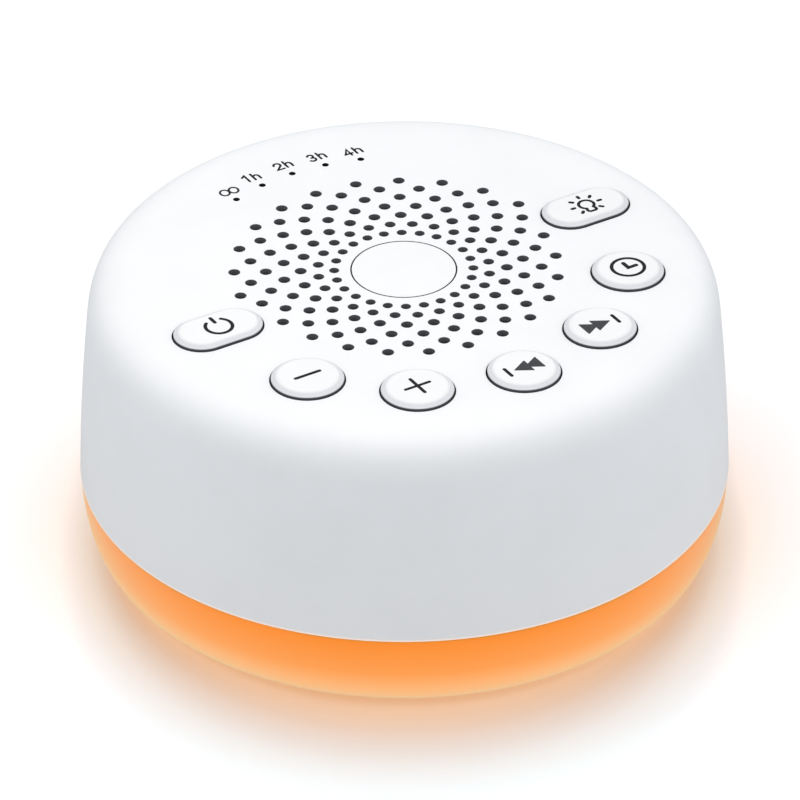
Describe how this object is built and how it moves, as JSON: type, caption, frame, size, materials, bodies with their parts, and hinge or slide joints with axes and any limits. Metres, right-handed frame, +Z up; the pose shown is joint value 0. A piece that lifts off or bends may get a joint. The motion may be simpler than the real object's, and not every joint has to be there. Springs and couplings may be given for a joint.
{
  "type": "white noise sound machine",
  "caption": "Round drum-shaped sound machine: white shell with a perforated speaker grille, round and pill-shaped push keys, timer indicators, a glowing diffuser base and a rear power inlet.",
  "frame": {"origin": "on the floor under the middle of the round base", "axes": "+Z up, -Y towards the side of the round keys, +X towards the light key, +Y towards the power inlet"},
  "size_m": [0.104, 0.104, 0.052],
  "materials": {
    "shell": "fine satin moulded white",
    "keycap": "smooth satin white with dark printed symbols",
    "diffuser": "milky translucent plastic lit from inside",
    "base_plastic": "fine satin white",
    "foot_rubber": "soft matt grey",
    "switch_plastic": "matt black",
    "plunger_plastic": "matt brown",
    "circuit_board": "green solder mask",
    "lamp_board_white": "white solder mask",
    "lamp": "yellow phosphor",
    "clear_plastic": "clear moulded",
    "mesh_cloth": "fine black woven mesh",
    "foam": "black foam",
    "frame_metal": "black paint on pressed steel",
    "surround_rubber": "matt black",
    "cone_paper": "pressed dark paper",
    "spider_cloth": "resin-stiffened cloth",
    "coil_copper": "enamelled copper wire on brown paper",
    "magnet": "dark sintered ferrite",
    "motor_steel": "zinc plated",
    "terminal_strip": "tinned lugs on fibre",
    "wire": "red insulation",
    "ribbon": "pale flat cable",
    "screw_steel": "zinc plated",
    "chip_plastic": "matt black",
    "capacitor": "bright can",
    "connector_plastic": "ivory nylon",
    "inlet_metal": "plated steel"
  },
  "bodies": {
    "housing": {"top_shell": "shell", "centre_disc": "shell", "switch_housings": "switch_plastic", "key_board": "circuit_board", "key_board_screws": "screw_steel", "indicator_lamps": "lamp", "indicator_light_guide": "clear_plastic", "acoustic_mesh": "mesh_cloth", "speaker_gasket": "foam", "speaker_basket": "frame_metal", "speaker_surround": "surround_rubber", "speaker_spider": "spider_cloth", "speaker_top_plate": "motor_steel", "speaker_magnet": "magnet", "speaker_yoke": "motor_steel", "speaker_terminals": "terminal_strip", "speaker_screws": "screw_steel", "speaker_wires": "wire", "key_ribbon": "ribbon", "chassis": "base_plastic", "housing_screws": "screw_steel", "main_board": "circuit_board", "main_board_screws": "screw_steel", "board_chips": "chip_plastic", "board_capacitors": "capacitor", "board_connectors": "connector_plastic", "usb_socket": "inlet_metal", "lamp_board": "lamp_board_white", "base_lamps": "lamp", "lamp_board_screws": "screw_steel", "lamp_header": "connector_plastic", "diffuser_base": "diffuser", "base_plate": "base_plastic", "base_screws": "screw_steel", "rubber_feet": "foot_rubber"},
    "power_key": {"power_button": "keycap", "power_switch_plunger": "plunger_plastic"},
    "light_key": {"light_button": "keycap", "light_switch_plunger": "plunger_plastic"},
    "volume_down_key": {"volume_down_button": "keycap", "volume_down_switch_plunger": "plunger_plastic"},
    "volume_up_key": {"volume_up_button": "keycap", "volume_up_switch_plunger": "plunger_plastic"},
    "previous_key": {"previous_button": "keycap", "previous_switch_plunger": "plunger_plastic"},
    "next_key": {"next_button": "keycap", "next_switch_plunger": "plunger_plastic"},
    "timer_key": {"timer_button": "keycap", "timer_switch_plunger": "plunger_plastic"},
    "speaker_diaphragm": {"speaker_cone": "cone_paper", "dust_cap": "cone_paper", "voice_coil": "coil_copper"}
  },
  "joints": [
    {"name": "power_press", "type": "slide", "parent": "housing", "child": "power_key", "axis": [0, 0, -1], "range_m": [0, 0.0004], "stiffness_N_per_m": 2500},
    {"name": "light_press", "type": "slide", "parent": "housing", "child": "light_key", "axis": [0, 0, -1], "range_m": [0, 0.0004], "stiffness_N_per_m": 2500},
    {"name": "volume_down_press", "type": "slide", "parent": "housing", "child": "volume_down_key", "axis": [0, 0, -1], "range_m": [0, 0.0004], "stiffness_N_per_m": 2500},
    {"name": "volume_up_press", "type": "slide", "parent": "housing", "child": "volume_up_key", "axis": [0, 0, -1], "range_m": [0, 0.0004], "stiffness_N_per_m": 2500},
    {"name": "previous_press", "type": "slide", "parent": "housing", "child": "previous_key", "axis": [0, 0, -1], "range_m": [0, 0.0004], "stiffness_N_per_m": 2500},
    {"name": "next_press", "type": "slide", "parent": "housing", "child": "next_key", "axis": [0, 0, -1], "range_m": [0, 0.0004], "stiffness_N_per_m": 2500},
    {"name": "timer_press", "type": "slide", "parent": "housing", "child": "timer_key", "axis": [0, 0, -1], "range_m": [0, 0.0004], "stiffness_N_per_m": 2500},
    {"name": "diaphragm_stroke", "type": "slide", "parent": "housing", "child": "speaker_diaphragm", "axis": [0, 0, 1], "range_m": [-0.0006, 0.0006], "stiffness_N_per_m": 1000, "deforming": ["speaker_surround", "speaker_spider"]}
  ]
}
